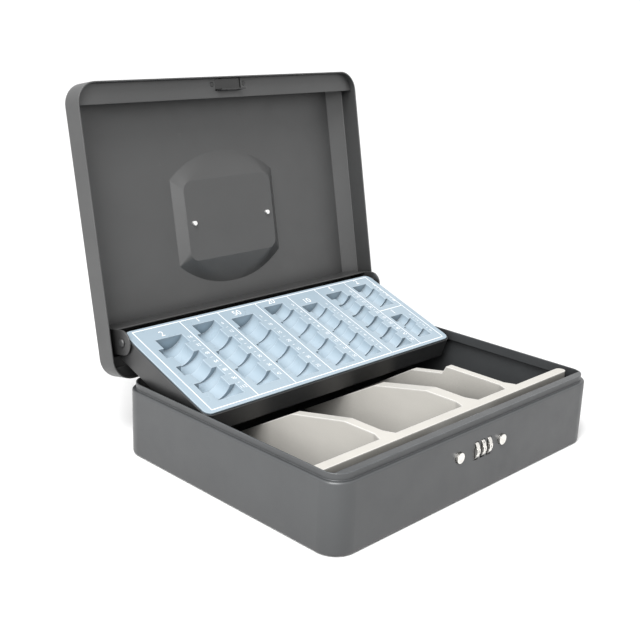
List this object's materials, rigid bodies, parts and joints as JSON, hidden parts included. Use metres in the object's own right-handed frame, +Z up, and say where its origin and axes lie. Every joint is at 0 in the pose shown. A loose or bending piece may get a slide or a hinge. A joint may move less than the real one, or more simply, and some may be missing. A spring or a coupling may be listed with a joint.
{
  "type": "cash box",
  "caption": "Steel cash box with a bevelled hinged lid, fold-flat bail handle, swing-out coin tray, note insert and a push-button combination lock.",
  "frame": {"origin": "middle of the base's underside", "axes": "+X to the right seen from the front, +Z up, front face towards -Y, lid hinge along X at the back"},
  "size_m": [0.3, 0.3068, 0.2766],
  "materials": {
    "body_paint": "grey hammered enamel, semi-gloss",
    "lid_paint": "grey hammered enamel, semi-gloss",
    "hinge_steel": "grey painted steel",
    "zinc": "zinc plated steel, satin",
    "black_steel": "black oxide, semi-gloss",
    "tray_paint": "grey enamel, satin",
    "coin_plastic": "pale blue vacuum-formed plastic",
    "note_plastic": "off-white plastic",
    "dial_plastic": "cream plastic with black numerals",
    "chrome": "bright nickel plating",
    "brass": "stamped brass",
    "spring_steel": "spring steel wire"
  },
  "bodies": {
    "base": {"base_shell": "body_paint", "front_flange": "body_paint", "hinge_leaf_base": "hinge_steel", "hinge_pin": "zinc", "hinge_rivets_base": "hinge_steel", "note_insert": "note_plastic", "lock_case": "zinc", "lock_studs": "zinc", "lock_nuts": "zinc", "stem_guide_left": "zinc", "stem_guide_right": "zinc", "dial_cradle": "zinc", "dial_shaft": "zinc", "detent_spring": "spring_steel", "return_spring_left": "spring_steel", "return_spring_right": "spring_steel"},
    "lid": {"lid_shell": "lid_paint", "lid_front_flange": "lid_paint", "lid_rear_flange": "lid_paint", "hinge_leaf_lid": "hinge_steel", "hinge_rivets_lid": "hinge_steel", "striker_hook": "black_steel", "striker_rivets": "black_steel", "handle_lug_left": "zinc", "handle_lug_right": "zinc", "tray_bracket": "hinge_steel"},
    "coin_tray": {"tray_pan": "tray_paint", "coin_insert": "coin_plastic", "tray_rivet_left": "zinc", "tray_rivet_right": "zinc"},
    "handle": {"bail_handle": "chrome"},
    "dial_a": {"dial_1": "dial_plastic", "code_disc_1": "brass"},
    "dial_b": {"dial_2": "dial_plastic", "code_disc_2": "brass"},
    "dial_c": {"dial_3": "dial_plastic", "code_disc_3": "brass"},
    "latch": {"latch_bar": "zinc", "button_left": "chrome", "button_right": "chrome"}
  },
  "joints": [
    {"name": "lid_hinge", "type": "hinge", "parent": "base", "child": "lid", "pos_m": [0, 0.1186, 0.049], "axis": [1, 0, 0], "range_deg": [0, 100.87]},
    {"name": "tray_pivot", "type": "hinge", "parent": "lid", "child": "coin_tray", "pos_m": [0, 0.12426, 0.08376], "axis": [1, 0, 0], "range_deg": [-130.78, 0]},
    {"name": "handle_pivot", "type": "hinge", "parent": "lid", "child": "handle", "pos_m": [0, 0.16784, 0.15644], "axis": [1, 0, 0], "range_deg": [-6.8, 79]},
    {"name": "dial_a_turn", "type": "hinge", "parent": "base", "child": "dial_a", "pos_m": [-0.0051, -0.108, 0.035], "axis": [1, 0, 0], "continuous": true},
    {"name": "dial_b_turn", "type": "hinge", "parent": "base", "child": "dial_b", "pos_m": [0.0024, -0.108, 0.035], "axis": [1, 0, 0], "continuous": true},
    {"name": "dial_c_turn", "type": "hinge", "parent": "base", "child": "dial_c", "pos_m": [0.0099, -0.108, 0.035], "axis": [1, 0, 0], "continuous": true},
    {"name": "release_push", "type": "slide", "parent": "base", "child": "latch", "axis": [0, 1, 0], "range_m": [0, 0.0018], "stiffness_N_per_m": 600, "springref_m": -0.003, "deforming": ["return_spring_left", "return_spring_right"]}
  ],
  "couplings": [
    {"joint": "tray_pivot", "follows": "lid_hinge", "ratio": -1.2964}
  ]
}
